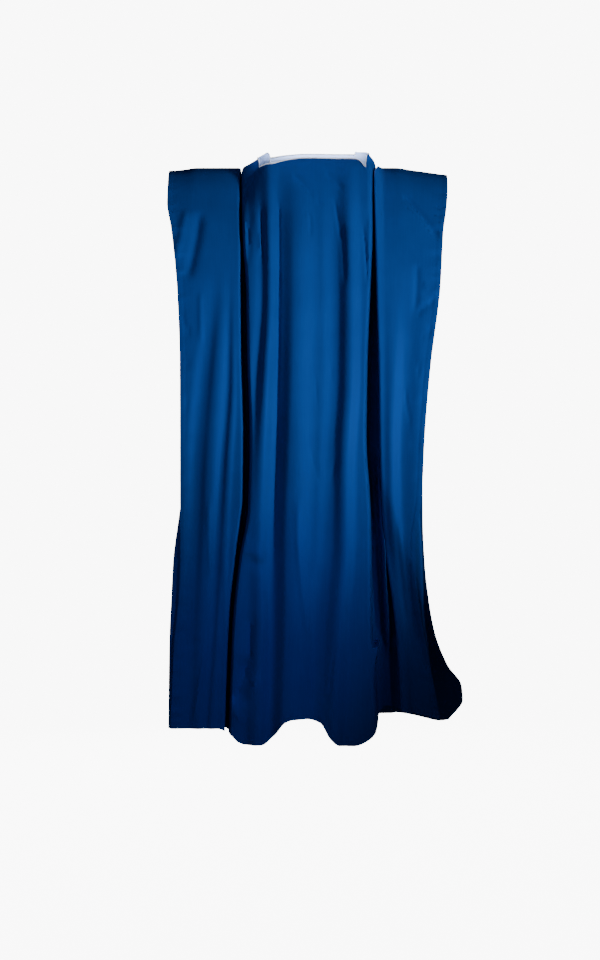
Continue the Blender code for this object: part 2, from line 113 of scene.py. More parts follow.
# How far the shoulders slope down at their ends. Columns: x, drop
SHOULDER_DROP = (
    (-0.296, 0.0155),
    (-0.250, 0.0088),
    (-0.220, 0.0048),
    (-0.187, 0.0000),
    (0.235, 0.0000),
    (0.265, 0.0040),
    (0.295, 0.0068),
)
# How much further down the back of the neck lies than in its middle. Columns: x, distance
NECK_SAG = (
    (-0.1370, 0.0000),
    (-0.1310, 0.0120),
    (-0.1260, 0.0210),
    (-0.1200, 0.0240),
    (-0.1120, 0.0140),
    (-0.1030, 0.0050),
    (-0.0900, 0.0030),
    (-0.0600, 0.0020),
    (-0.0100, 0.0000),
    (0.0120, 0.0010),
    (0.0330, 0.0050),
    (0.0550, 0.0100),
    (0.0780, 0.0170),
    (0.1000, 0.0070),
    (0.1280, 0.0000),
)

# Panel side edges. Columns: z, left edge, right edge
BACK_EDGES = (
    (0.00, 0.1405, -0.1460),
    (-0.05, 0.1402, -0.1372),
    (-0.09, 0.1400, -0.1362),
    (-0.17, 0.1372, -0.1362),
    (-0.27, 0.1290, -0.1316),
    (-0.42, 0.1260, -0.1240),
    (-0.58, 0.1210, -0.1212),
    (-0.73, 0.1250, -0.1300),
    (-0.83, 0.1425, -0.1318),
    (-0.93, 0.1535, -0.1330),
    (-1.000, 0.1580, -0.1350),
    (-1.022, 0.1588, -0.1420),
    (-1.034, 0.1590, -0.1500),
    (-1.046, 0.1594, -0.1440),
    (-1.075, 0.1605, -0.1410),
    (-1.20, 0.1645, -0.1460),
)
FRONT_EDGES = (
    (0.00, 0.1405, -0.1460),
    (-0.15, 0.1380, -0.1360),
    (-0.40, 0.1280, -0.1270),
    (-0.70, 0.1260, -0.1290),
    (-0.95, 0.1420, -0.1380),
    (-1.20, 0.1560, -0.1480),
)

# Sleeve folds, as distance from the middle. Columns: z, inner fold, outer fold, free hem
LEFT_BACK = (
    (0.00, 0.1430, 0.2880, 0.2950),
    (-0.08, 0.1430, 0.2870, 0.2944),
    (-0.14, 0.1425, 0.2760, 0.2840),
    (-0.20, 0.1400, 0.2680, 0.2760),
    (-0.28, 0.1396, 0.2610, 0.2690),
    (-0.42, 0.1380, 0.2560, 0.2635),
    (-0.58, 0.1338, 0.2550, 0.2626),
    (-0.71, 0.1353, 0.2615, 0.2624),
    (-0.75, 0.1400, 0.2665, 0.2620),
    (-0.80, 0.1465, 0.2735, 0.2615),
    (-0.83, 0.1500, 0.2768, 0.2617),
    (-0.92, 0.1600, 0.2812, 0.2650),
    (-1.01, 0.1650, 0.2849, 0.2735),
    (-1.20, 0.1710, 0.2872, 0.2820),
)
RIGHT_BACK = (
    (0.00, 0.1490, 0.2890, 0.2965),
    (-0.05, 0.1400, 0.2860, 0.2935),
    (-0.09, 0.1385, 0.2820, 0.2890),
    (-0.14, 0.1390, 0.2740, 0.2812),
    (-0.27, 0.1410, 0.2650, 0.2720),
    (-0.43, 0.1455, 0.2450, 0.2520),
    (-0.58, 0.1478, 0.2330, 0.2395),
    (-0.70, 0.1510, 0.2290, 0.2337),
    (-0.80, 0.1590, 0.2345, 0.2210),
    (-0.87, 0.1665, 0.2370, 0.2215),
    (-0.95, 0.1760, 0.2380, 0.2290),
    (-1.04, 0.1840, 0.2475, 0.2430),
    (-1.20, 0.1930, 0.2660, 0.2720),
)
LEFT_FRONT = (
    (0.00, 0.1430, 0.2880, 0.2950),
    (-0.10, 0.1430, 0.2840, 0.2900),
    (-0.28, 0.1400, 0.2610, 0.2670),
    (-0.58, 0.1380, 0.2530, 0.2590),
    (-0.83, 0.1500, 0.2700, 0.2640),
    (-1.20, 0.1680, 0.2900, 0.2830),
)
RIGHT_FRONT = (
    (0.00, 0.1490, 0.2890, 0.2965),
    (-0.10, 0.1400, 0.2840, 0.2900),
    (-0.28, 0.1410, 0.2650, 0.2700),
    (-0.58, 0.1450, 0.2560, 0.2500),
    (-0.75, 0.1500, 0.2565, 0.2440),
    (-0.85, 0.1550, 0.2606, 0.2430),
    (-0.925, 0.1600, 0.2684, 0.2470),
    (-0.996, 0.1660, 0.2810, 0.2560),
    (-1.066, 0.1720, 0.3090, 0.2680),
    (-1.116, 0.1750, 0.3420, 0.2780),
    (-1.150, 0.1770, 0.3455, 0.2830),
    (-1.188, 0.1800, 0.3150, 0.2860),
)

# Height of the hem across the robe. Columns: x, z
BACK_HEM = (
    (-0.350, -1.160),
    (-0.267, -1.159),
    (-0.242, -1.155),
    (-0.225, -1.151),
    (-0.193, -1.148),
    (-0.165, -1.138),
    (-0.152, -1.145),
    (-0.135, -1.192),
    (-0.094, -1.212),
    (-0.065, -1.211),
    (-0.045, -1.196),
    (-0.025, -1.165),
    (0.005, -1.157),
    (0.030, -1.158),
    (0.047, -1.164),
    (0.068, -1.190),
    (0.095, -1.211),
    (0.135, -1.211),
    (0.160, -1.190),
    (0.185, -1.178),
    (0.350, -1.178),
)
FRONT_HEM = (
    (-0.350, -1.196),
    (-0.315, -1.200),
    (-0.295, -1.203),
    (-0.260, -1.196),
    (-0.215, -1.186),
    (-0.150, -1.182),
    (-0.070, -1.194),
    (0.000, -1.186),
    (0.080, -1.195),
    (0.160, -1.184),
    (0.350, -1.180),
)

# Hanging folds. Columns: height, half width, x at each level, and where it changes the share
# of the height at each level
FOLD_LEVELS = (-0.10, -0.30, -0.46, -0.63, -0.79, -0.96, -1.20)
BACK_FOLDS = (
    (-0.007, 0.019, 0.098, 0.094, 0.105, 0.114, 0.118, 0.122, 0.130,
     0.4, 0.75, 0.8, 0.25, 0.0, 0.6, 1.0),
    (0.007, 0.020, 0.080, 0.077, 0.086, 0.097, 0.103, 0.098, 0.106,
     1.0, 1.0, 1.0, 0.6, 0.4, 0.7, 0.8),
    (-0.011, 0.029, 0.058, 0.057, 0.059, 0.066, 0.072, 0.072, 0.079,
     0.3, 0.55, 0.85, 1.0, 1.1, 1.15, 1.2),
    (0.010, 0.046, 0.022, 0.022, 0.027, 0.026, 0.028, 0.031, 0.037),
    (-0.009, 0.026, -0.050, -0.054, -0.053, -0.044, -0.038, -0.022, -0.010,
     0.3, 0.55, 0.5, 0.5, 0.5, 0.7, 0.8),
    (0.011, 0.026, -0.085, -0.087, -0.085, -0.076, -0.075, -0.062, -0.052),
)
FRONT_FOLDS = (
    (0.012, 0.028, 0.104, 0.100, 0.098, 0.098, 0.102, 0.108, 0.116),
    (-0.016, 0.030, 0.064, 0.060, 0.056, 0.056, 0.060, 0.066, 0.072),
    (0.012, 0.034, 0.020, 0.014, 0.008, 0.006, 0.008, 0.010, 0.012),
    (-0.016, 0.030, -0.050, -0.048, -0.050, -0.054, -0.056, -0.056, -0.056),
    (0.012, 0.028, -0.100, -0.098, -0.098, -0.098, -0.102, -0.106, -0.112),
)
LEFT_FOLDS = (
    (-0.006, 0.024, 0.190, 0.196, 0.216, 0.230, 0.234, 0.240, 0.246,
     1.0, 1.0, 1.0, 1.0, 0.8, 0.55, 0.45),
    (0.005, 0.020, 0.172, 0.178, 0.186, 0.199, 0.208, 0.218, 0.226,
     1.0, 1.0, 1.0, 1.0, 0.8, 0.6, 0.6),
    (-0.0035, 0.013, 0.160, 0.162, 0.164, 0.176, 0.186, 0.196, 0.212,
     1.0, 1.0, 1.0, 1.0, 0.9, 0.8, 0.5),
    (0.0030, 0.012, 0.151, 0.151, 0.152, 0.162, 0.170, 0.180, 0.198),
)
RIGHT_FOLDS = (
    (-0.005, 0.030, 0.222, 0.214, 0.202, 0.194, 0.196, 0.206, 0.222),
    (0.004, 0.024, 0.182, 0.176, 0.174, 0.170, 0.176, 0.186, 0.202),
)
FOLDS_GROW = (-0.02, -0.22)
SLEEVE_FOLDS_GROW = (-0.20, -0.50)

# Small creases. Columns: x and z at the start, middle and end, half width, height
BACK_CREASES = (
    (0.0600, -0.070, 0.0590, -0.170, 0.0600, -0.300, 0.0034, -0.0024),
    (0.0600, -0.220, 0.0620, -0.460, 0.0720, -0.900, 0.0050, -0.0036),
    (-0.0540, -0.080, -0.0620, -0.130, -0.0680, -0.175, 0.0032, -0.0024),
    (-0.0690, -0.130, -0.0740, -0.200, -0.0760, -0.275, 0.0070, -0.0032),
    (-0.1130, -0.120, -0.1190, -0.200, -0.1220, -0.270, 0.0035, -0.0030),
    (0.0970, -0.080, 0.0930, -0.160, 0.0885, -0.230, 0.0060, -0.0036),
    (0.1060, -0.100, 0.1010, -0.160, 0.0970, -0.205, 0.0055, 0.0030),
    (0.111, -0.020, 0.125, -0.056, 0.138, -0.096, 0.0042, -0.0060),
    (0.121, -0.050, 0.122, -0.135, 0.124, -0.235, 0.0040, -0.0032),
    (0.130, -0.094, 0.130, -0.155, 0.131, -0.221, 0.0050, 0.0025),
    (0.086, -0.084, 0.094, -0.145, 0.094, -0.211, 0.0050, -0.0020),
    (0.033, -0.026, 0.010, -0.055, -0.014, -0.086, 0.0060, -0.0025),
    (-0.035, -0.026, -0.055, -0.045, -0.076, -0.065, 0.0060, -0.0025),
    (0.009, -0.125, 0.003, -0.113, -0.003, -0.124, 0.0022, -0.0022),
    (-0.001, -0.118, -0.005, -0.140, -0.003, -0.172, 0.0040, -0.0018),
    (-0.008, -0.106, -0.021, -0.100, -0.035, -0.096, 0.0020, -0.0010),
    (-0.053, -0.156, -0.060, -0.159, -0.067, -0.160, 0.0022, -0.0024),
    (-0.021, -0.073, -0.021, -0.090, -0.023, -0.106, 0.0016, -0.0008),
    (-0.016, -0.457, -0.035, -0.452, -0.053, -0.447, 0.0022, -0.0020),
    (-0.016, -0.457, -0.017, -0.483, -0.018, -0.512, 0.0022, -0.0012),
    (-0.127, -0.104, -0.126, -0.166, -0.125, -0.227, 0.0040, 0.0020),
    (0.140, -0.812, 0.112, -0.816, 0.088, -0.838, 0.0130, 0.0070),
    (0.120, -0.834, 0.102, -0.838, 0.088, -0.856, 0.0060, -0.0060),
    (0.113, -0.940, 0.117, -1.000, 0.121, -1.060, 0.0090, -0.0060),
    (0.126, -1.030, 0.138, -1.080, 0.156, -1.128, 0.0150, -0.0130),
    (0.108, -1.060, 0.124, -1.122, 0.160, -1.172, 0.0110, 0.0070),
    (-0.127, -0.976, -0.115, -0.998, -0.102, -1.025, 0.0025, -0.0015),
    (-0.057, -1.000, -0.049, -1.053, -0.043, -1.103, 0.0030, -0.0020),
    (0.088, -0.709, 0.092, -0.730, 0.101, -0.752, 0.0025, -0.0015),
    (-0.004, -0.611, -0.014, -0.641, -0.029, -0.676, 0.0040, -0.0015),
    (-0.066, -0.611, -0.055, -0.643, -0.043, -0.682, 0.0060, -0.0015),
    (0.018, -0.699, 0.018, -0.832, -0.008, -1.027, 0.0080, 0.0025),
)
LEFT_CREASES = (
    (0.226, -0.105, 0.234, -0.180, 0.252, -0.262, 0.0150, -0.0065),
    (0.252, -0.100, 0.262, -0.160, 0.274, -0.215, 0.0120, 0.0040),
    (0.262, -0.325, 0.252, -0.350, 0.240, -0.362, 0.0050, -0.0026),
    (0.262, -0.415, 0.250, -0.428, 0.236, -0.432, 0.0045, -0.0024),
    (0.256, -0.500, 0.244, -0.512, 0.226, -0.520, 0.0045, -0.0020),
    (0.271, -0.969, 0.246, -0.967, 0.219, -0.976, 0.0030, -0.0014),
    (0.271, -1.004, 0.242, -1.006, 0.211, -1.000, 0.0030, -0.0014),
    (0.211, -1.006, 0.221, -1.082, 0.236, -1.164, 0.0060, 0.0030),
    (0.203, -0.699, 0.203, -0.791, 0.199, -0.873, 0.0060, 0.0025),
    (0.170, -0.816, 0.170, -0.893, 0.172, -0.980, 0.0060, 0.0025),
    (0.221, -0.279, 0.221, -0.330, 0.219, -0.391, 0.0070, 0.0020),
)
RIGHT_CREASES = (
    (0.195, -0.069, 0.238, -0.119, 0.275, -0.172, 0.0070, -0.0040),
    (0.224, -0.221, 0.224, -0.268, 0.219, -0.336, 0.0090, -0.0025),
    (0.222, -0.330, 0.240, -0.312, 0.262, -0.300, 0.0050, -0.0034),
    (0.236, -0.262, 0.250, -0.275, 0.268, -0.283, 0.0050, 0.0030),
    (0.232, -0.372, 0.244, -0.366, 0.256, -0.362, 0.0040, -0.0024),
    (0.218, -0.428, 0.229, -0.444, 0.246, -0.452, 0.0040, -0.0028),
    (0.210, -0.498, 0.226, -0.506, 0.243, -0.510, 0.0040, -0.0022),
    (0.200, -0.480, 0.204, -0.520, 0.214, -0.560, 0.0040, -0.0016),
    (0.205, -0.590, 0.220, -0.594, 0.233, -0.592, 0.0032, -0.0020),
    (0.228, -0.930, 0.240, -1.000, 0.256, -1.078, 0.0060, 0.0030),
    (0.184, -0.750, 0.197, -0.853, 0.213, -0.996, 0.0070, 0.0020),
)
# Crest of the inner layer that shows in the right side's hollow. Columns: z, x, height
RIGHT_CREST = (
    (-0.60, 0.1440, 0.0),
    (-0.66, 0.1470, 0.0120),
    (-0.742, 0.1520, 0.0300),
    (-0.81, 0.1580, 0.0340),
    (-0.88, 0.1600, 0.0340),
    (-1.00, 0.1650, 0.0320),
    (-1.06, 0.1660, 0.0120),
    (-1.09, 0.1660, 0.0),
)
# Curl of the right sleeve's front rim. Columns: z, height
RIM_CURL = (
    (-0.76, 0.0),
    (-0.86, 0.0120),
    (-0.95, 0.0320),
    (-1.03, 0.0460),
    (-1.09, 0.0320),
    (-1.13, 0.0100),
    (-1.17, 0.0),
)
FRONT_CREASES = (
    (0.110, -0.040, 0.118, -0.100, 0.124, -0.180, 0.0080, -0.0040),
    (-0.112, -0.040, -0.118, -0.110, -0.122, -0.200, 0.0080, -0.0040),
    (0.050, -0.300, 0.020, -0.330, -0.010, -0.340, 0.0060, -0.0020),
    (-0.040, -0.520, -0.020, -0.640, -0.010, -0.760, 0.0070, -0.0025),
    (0.090, -0.700, 0.082, -0.800, 0.086, -0.900, 0.0050, -0.0025),
    (-0.080, -0.900, -0.072, -1.000, -0.078, -1.100, 0.0060, 0.0030),
)


def smooth(value):
    """A soft step from 0 to 1."""
    t = np.clip(value, 0.0, 1.0)
    return t * t * (3.0 - 2.0 * t)


def read(table, column, key):
    """The value of a column at the keys, on a smooth line through the table's rows."""
    rows = np.array(sorted(table), float)
    keys, values = rows[:, 0], rows[:, column]
    key = np.clip(np.asarray(key, float), keys[0], keys[-1])
    step = np.diff(values) / np.diff(keys)
    slope = np.empty(len(keys))
    slope[0], slope[-1] = step[0], step[-1]
    both = step[:-1] * step[1:]
    total = step[:-1] + step[1:]
    slope[1:-1] = np.where(both > 0.0, 2.0 * both / np.where(both > 0.0, total, 1.0), 0.0)
    i = np.clip(np.searchsorted(keys, key, side="right") - 1, 0, len(keys) - 2)
    span = keys[i + 1] - keys[i]
    t = (key - keys[i]) / span
    return (
        values[i] * (2 * t**3 - 3 * t**2 + 1)
        + slope[i] * span * (t**3 - 2 * t**2 + t)
        + values[i + 1] * (3 * t**2 - 2 * t**3)
        + slope[i + 1] * span * (t**3 - t**2)
    )


def raised(x):
    """1 on the raised neck slope and 0 out on the shoulder."""
    left = 1.0 - smooth((x - SLOPE["left"][0]) / (SLOPE["left"][1] - SLOPE["left"][0]))
    right = 1.0 - smooth((-x - SLOPE["right"][0]) / (SLOPE["right"][1] - SLOPE["right"][0]))
    return np.where(x >= 0.0, left, right)


def base(profile, x, along):
    """The cloth before its folds: y and z at this distance along."""
    share = raised(x)
    y = read(profile, 1, along) * (1.0 - share) + read(profile, 3, along) * share
    z = read(profile, 2, along) * (1.0 - share) + read(profile, 4, along) * share
    return y, z - read(SHOULDER_DROP, 1, x) * (1.0 - smooth(along / 0.9))


def neck_sag(x, along):
    """The extra distance down the back beside the neck."""
    near = smooth(along / 0.07) * (1.0 - smooth((along - 0.10) / 0.25))
    return read(NECK_SAG, 1, x) * near


def outward(profile, x, along):
    """The direction out of the cloth, as y and z."""
    y0, z0 = base(profile, x, along - 0.002)
    y1, z1 = base(profile, x, along + 0.002)
    size = np.maximum(np.hypot(y1 - y0, z1 - z0), 1e-9)
    turn = 1.0 if profile is BACK_PROFILE else -1.0
    start = along < 0.002
    ny = np.where(start, 0.0, -turn * (z1 - z0) / size)
    nz = np.where(start, 1.0, turn * (y1 - y0) / size)
    return ny, nz


def place(profile, hem, x, along, out):
    """Points of the cloth: x across, along from the shoulder, out from the surface."""
    x, along, out = np.broadcast_arrays(x, along, out)
    y, z = base(profile, x, along)
    ny, nz = outward(profile, x, along)
    end = profile[-1][2]
    low = smooth((-z - 0.75) / 0.40)
    z = z + (read(hem, 1, x) - end) * low * z / end
    return np.stack([x, y + ny * out, z + nz * out], axis=-1)


def fold_height(folds, x, z, grow=FOLDS_GROW):
    """How far the hanging folds move the cloth out."""
    total = np.zeros(np.broadcast(x, z).shape)
    for height, half_width, *places in folds:
        away = np.abs(x - read(tuple(zip(FOLD_LEVELS, places[:7])), 1, z)) / half_width
        rise = height * 0.5 * (1.0 + np.cos(np.pi * np.minimum(away, 1.0)))
        if len(places) > 7:
            rise = rise * read(tuple(zip(FOLD_LEVELS, places[7:])), 1, z)
        total += np.where(away < 1.0, rise, 0.0)
    start, full = grow
    return total * smooth((start - z) / (start - full))


def crease_height(creases, x, z):
    """How far the small creases move the cloth out, tapered to nothing at both ends."""
    x, z = np.broadcast_arrays(x, z)
    total = np.zeros(x.shape)
    for x0, z0, x1, z1, x2, z2, half_width, height in creases:
        length = math.hypot(x1 - x0, z1 - z0) + math.hypot(x2 - x1, z2 - z1)
        t = np.linspace(0.0, 1.0, 12 + int(4.0 * length / half_width))
        cx, cz = 2 * x1 - (x0 + x2) / 2, 2 * z1 - (z0 + z2) / 2
        px = (1 - t) ** 2 * x0 + 2 * t * (1 - t) * cx + t**2 * x2
        pz = (1 - t) ** 2 * z0 + 2 * t * (1 - t) * cz + t**2 * z2
        near = (np.abs(x - (x0 + x2) / 2) < abs(x0 - x2) / 2 + abs(cx - x1) + 2 * half_width)
        near &= (z < max(z0, z1, z2) + 2 * half_width) & (z > min(z0, z1, z2) - 2 * half_width)
        if not near.any():
            continue
        far = np.hypot(x[near][:, None] - px, z[near][:, None] - pz)
        best = far.argmin(axis=1)
        away = far[np.arange(len(best)), best] / half_width
        taper = smooth(np.sin(np.pi * np.clip(t[best], 0.0, 1.0)) * 1.6)
        total[near] += height * taper * np.exp(-1.9 * away**2)
    return total


def uneven(x, z, seed, size):
    """Slow unevenness of hanging cloth, as a sum of long waves."""
    total = np.zeros(np.broadcast(x, z).shape)
    chance = np.random.default_rng(seed)
    for _ in range(7):
        across, down = chance.uniform(25.0, 70.0), chance.uniform(4.0, 16.0)
        total += np.sin(across * x + down * z + chance.uniform(0.0, 6.28)) / 7.0
    return total * size


def seam_depth(along):
    """How far in the panel's side seam lies."""
    return SEAM_DEPTH_TOP + (SEAM_DEPTH - SEAM_DEPTH_TOP) * smooth(along / 0.20)


def neck_side(side, along, front):
    """x of the neck opening's edge."""
    top = NECK_TOP[side]
    if front:
        return top + (NECK_MIDDLE - top) * np.minimum(1.0, along / NECK_DROP_FRONT)
    return top + (NECK_BACK[side] - top) * smooth(along / NECK_DROP_BACK)


def finer(values, parts):
    """The values with each step cut into parts."""
    values = np.asarray(values, float)
    t = np.arange(parts) / parts
    fine = (values[:-1, None] + (values[1:] - values[:-1])[:, None] * t).ravel()
    return np.append(fine, values[-1])


ROWS_PER_STEP = 7
FINE = finer(ALONG, ROWS_PER_STEP)
ROBE = bpy.data.collections.new("grand boubou robe")
bpy.context.scene.collection.children.link(ROBE)


def flat_places(points):
    """Distances over the cloth, across and along, as on the flat cut."""
    across = np.linalg.norm(np.diff(points, axis=1), axis=2)
    u = np.concatenate([np.zeros((len(points), 1)), np.cumsum(across, axis=1)], axis=1)
    u = np.broadcast_to(u.mean(axis=0), u.shape)
    middle = points[:, points.shape[1] // 2]
    v = np.concatenate([[0.0], np.cumsum(np.linalg.norm(np.diff(middle, axis=0), axis=1))])
    return u, np.broadcast_to(v[:, None], u.shape)


def sheet_mesh(name, points, keep, flip, wall, material, merge=None):
    """A named cloth piece from a grid of points, with a wall and a flat pattern map."""
    rows, columns = points.shape[:2]
    ids = np.arange(rows * columns).reshape(rows, columns)
    if merge is not None:
        ids = merge(ids)
    a, b = ids[:-1, :-1], ids[1:, :-1]
    c, d = ids[1:, 1:], ids[:-1, 1:]
    faces = np.stack([a, b, c, d], axis=-1)[keep]
    if flip:
        faces = faces[:, ::-1]
    used, new = np.unique(faces, return_inverse=True)
    faces = new.reshape(faces.shape)
    u, v = flat_places(points)
    u, v = u.ravel()[used], v.ravel()[used]
    mesh = bpy.data.meshes.new(name)
    mesh.from_pydata(points.reshape(-1, 3)[used].tolist(), [], faces.tolist())
    mesh.update()
    flat = mesh.uv_layers.new(name="flat cut")
    corners = faces.ravel()
    flat.data.foreach_set("uv", np.stack([u[corners], v[corners]], axis=1).ravel())
    mesh.materials.append(material)
    piece = bpy.data.objects.new(name, mesh)
    ROBE.objects.link(piece)
    solid = piece.modifiers.new("wall", "SOLIDIFY")
    solid.thickness = wall
    solid.offset = 0.0
    settle(piece)
    return piece


def settle(piece, angle=55.0):
    """Applies a piece's modifiers and shades it smooth with sharp borders."""
    graph = bpy.context.evaluated_depsgraph_get()
    made = bpy.data.meshes.new_from_object(piece.evaluated_get(graph))
    piece.modifiers.clear()
    piece.data = made
    made.shade_smooth()
    made.set_sharp_from_angle(angle=math.radians(angle))


def linear(text):
    """An sRGB hex colour as linear values."""
    parts = [int(text[k:k + 2], 16) / 255.0 for k in (0, 2, 4)]
    return [c / 12.92 if c <= 0.04045 else ((c + 0.055) / 1.055) ** 2.4 for c in parts] + [1.0]


def add(tree, kind, place_at, settings=None, **links):
    """Adds a node at a place, with its settings and the values or links of its inputs."""
    node = tree.nodes.new(kind)
    node.location = place_at
    for key, value in (settings or {}).items():
        setattr(node, key, value)
    for key, value in links.items():
        numbered = key[0] == "i" and key[1:].isdigit()
        socket = node.inputs[int(key[1:]) if numbered else key.replace("_", " ")]
        if isinstance(value, bpy.types.NodeSocket):
            tree.links.new(value, socket)
        else:
            socket.default_value = value
    return node


def tones(node, low, dark, high, light):
    """Sets a colour ramp's two places and colours."""
    ends = node.color_ramp.elements
    ends[0].position, ends[0].color = low, dark
    ends[1].position, ends[1].color = high, light


def new_material(name):
    """An empty node material and its tree."""
    made = bpy.data.materials.new(name)
    made.use_nodes = True
    made.node_tree.nodes.clear()
    return made, made.node_tree


THREAD_MM = 1.4


def polished_cotton():
    """Polished cotton, woven in satin and calendered: a soft broad sheen, fine cross threads.

    The real threads are about 0.3 mm, and they're drawn 1.4 mm apart so that they show.
    """
    made, tree = new_material("royal blue polished cotton")
    cut = add(tree, "ShaderNodeTexCoord", (-1500, 0))
    threads = add(tree, "ShaderNodeMapping", (-1300, 200), Vector=cut.outputs["UV"],
                  Scale=(1000.0 / THREAD_MM, 1000.0 / THREAD_MM, 1.0))
    warp = add(tree, "ShaderNodeTexWave", (-1100, 360),
               {"wave_type": "BANDS", "bands_direction": "X", "wave_profile": "SIN"},
               Vector=threads.outputs["Vector"], Scale=0.32, Distortion=0.6)
    weft = add(tree, "ShaderNodeTexWave", (-1100, 60),
               {"wave_type": "BANDS", "bands_direction": "Y", "wave_profile": "SIN"},
               Vector=threads.outputs["Vector"], Scale=0.32, Distortion=0.6)
    weave = add(tree, "ShaderNodeMath", (-900, 200), {"operation": "MULTIPLY"},
                i0=warp.outputs["Fac"], i1=weft.outputs["Fac"])
    slubs = add(tree, "ShaderNodeMapping", (-1300, -240), Vector=cut.outputs["UV"],
                Scale=(420.0, 14.0, 1.0))
    slub = add(tree, "ShaderNodeTexNoise", (-1100, -240), Vector=slubs.outputs["Vector"],
               Scale=1.0, Detail=3.0, Roughness=0.6)
    broad = add(tree, "ShaderNodeTexNoise", (-1100, -480), Vector=cut.outputs["UV"],
                Scale=7.0, Detail=4.0, Roughness=0.55)
    shade = add(tree, "ShaderNodeMath", (-900, -300), {"operation": "MULTIPLY_ADD"},
                i0=slub.outputs["Fac"], i1=0.25, i2=0.15)
    both = add(tree, "ShaderNodeMath", (-720, -360), {"operation": "MULTIPLY_ADD"},
               i0=broad.outputs["Fac"], i1=0.45, i2=shade.outputs["Value"])
    colour = add(tree, "ShaderNodeValToRGB", (-540, -300), Fac=both.outputs["Value"])
    tones(colour, 0.34, linear(ROBE_DARK), 0.66, linear(ROBE_LIGHT))
    polish = add(tree, "ShaderNodeMapRange", (-540, -560), Value=broad.outputs["Fac"],
                 From_Min=0.3, From_Max=0.7, To_Min=0.46, To_Max=0.54)
    relief = add(tree, "ShaderNodeBump", (-540, 160), Height=weave.outputs["Value"],
                 Strength=0.12, Distance=0.0002)
    slack = add(tree, "ShaderNodeBump", (-360, 60), Height=slub.outputs["Fac"],
                Strength=0.10, Distance=0.0004, Normal=relief.outputs["Normal"])
    shader = add(tree, "ShaderNodeBsdfPrincipled", (-160, 0), None,
                 Base_Color=colour.outputs["Color"], Roughness=polish.outputs["Result"],
                 Normal=slack.outputs["Normal"], IOR=1.45, Metallic=0.0,
                 Specular_IOR_Level=0.50, Specular_Tint=linear("1F66E0"), Anisotropic=0.35,
                 Sheen_Weight=0.12, Sheen_Roughness=0.45, Sheen_Tint=linear("1F5FC8"))
    add(tree, "ShaderNodeOutputMaterial", (140, 0), Surface=shader.outputs["BSDF"])
    return made


def band_cotton():
    """Firm cotton drill for the neck band: matt, with a fine diagonal twill."""
    made, tree = new_material("pale cotton drill")
    cut = add(tree, "ShaderNodeTexCoord", (-1300, 0))
    threads = add(tree, "ShaderNodeMapping", (-1100, 100), Vector=cut.outputs["UV"],
                  Scale=(1000.0, 1000.0, 1.0))
    twill = add(tree, "ShaderNodeTexWave", (-900, 100),
                {"wave_type": "BANDS", "bands_direction": "DIAGONAL"},
                Vector=threads.outputs["Vector"], Scale=0.30, Distortion=0.8)
    nap = add(tree, "ShaderNodeTexNoise", (-900, -200), Vector=threads.outputs["Vector"],
              Scale=0.12, Detail=4.0, Roughness=0.6)
    colour = add(tree, "ShaderNodeValToRGB", (-640, -160), Fac=nap.outputs["Fac"])
    tones(colour, 0.3, linear("C0D6FF"), 0.7, linear("D2E4FF"))
    relief = add(tree, "ShaderNodeBump", (-640, 120), Height=twill.outputs["Fac"],
                 Strength=0.25, Distance=0.0003)
    shader = add(tree, "ShaderNodeBsdfPrincipled", (-300, 0), None,
                 Base_Color=colour.outputs["Color"], Normal=relief.outputs["Normal"],
                 Roughness=0.62, IOR=1.45, Sheen_Weight=0.15)
    add(tree, "ShaderNodeOutputMaterial", (0, 0), Surface=shader.outputs["BSDF"])
    return made


def corded_thread(name, colour_text, roughness):
    """Twisted thread: rounded, a little glossier than cloth, with its twist as relief."""
    made, tree = new_material(name)
    cut = add(tree, "ShaderNodeTexCoord", (-900, 0))
    size = add(tree, "ShaderNodeMapping", (-700, 0), Vector=cut.outputs["Object"],
               Scale=(1000.0, 1000.0, 1000.0))
    twist = add(tree, "ShaderNodeTexNoise", (-500, 0), Vector=size.outputs["Vector"],
                Scale=1.3, Detail=2.0)
    tone = add(tree, "ShaderNodeValToRGB", (-300, 120), Fac=twist.outputs["Fac"])
    darker = [0.8 * c for c in linear(colour_text)[:3]] + [1.0]
    tones(tone, 0.0, darker, 1.0, linear(colour_text))
    relief = add(tree, "ShaderNodeBump", (-300, -160), Height=twist.outputs["Fac"],
                 Strength=0.3, Distance=0.0002)
    shader = add(tree, "ShaderNodeBsdfPrincipled", (0, 0), None,
                 Base_Color=tone.outputs["Color"], Normal=relief.outputs["Normal"],
                 Roughness=roughness)
    add(tree, "ShaderNodeOutputMaterial", (300, 0), Surface=shader.outputs["BSDF"])
    return made


ROBE_DARK = "0A3F86"
ROBE_LIGHT = "0D4A98"
robe_cloth = polished_cotton()
band_cloth = band_cotton()
piping_cloth = corded_thread("pale satin piping", "F4F8FF", 0.45)
robe_thread = corded_thread("blue sewing thread", "0B3E86", 0.5)
band_thread = corded_thread("white sewing thread", "E6EEFC", 0.5)


def hem_turn(distance):
    """Relief of a turned and stitched hem, by distance from its edge."""
    band = 0.0005 * smooth((HEM_WIDTH + 0.001 - distance) / 0.002)
    groove = -0.0008 * np.exp(-((distance - HEM_WIDTH + 0.001) / 0.0012) ** 2)
    return band + groove


def puckers(run, distance, seed, size):
    """Small gathers that the hem's stitching pulls in the cloth beside it."""
    chance = np.random.default_rng(seed)
    wave = np.zeros(np.broadcast(run, distance).shape)
    for length in (0.012, 0.019, 0.031, 0.052):
        wave += np.sin(6.283 * run / length + chance.uniform(0.0, 6.28)) * (length / 0.055) ** 0.5
    return size * wave / 2.0 * np.exp(-((distance - 0.008) / 0.014) ** 2)


EDGE_STEPS = 14


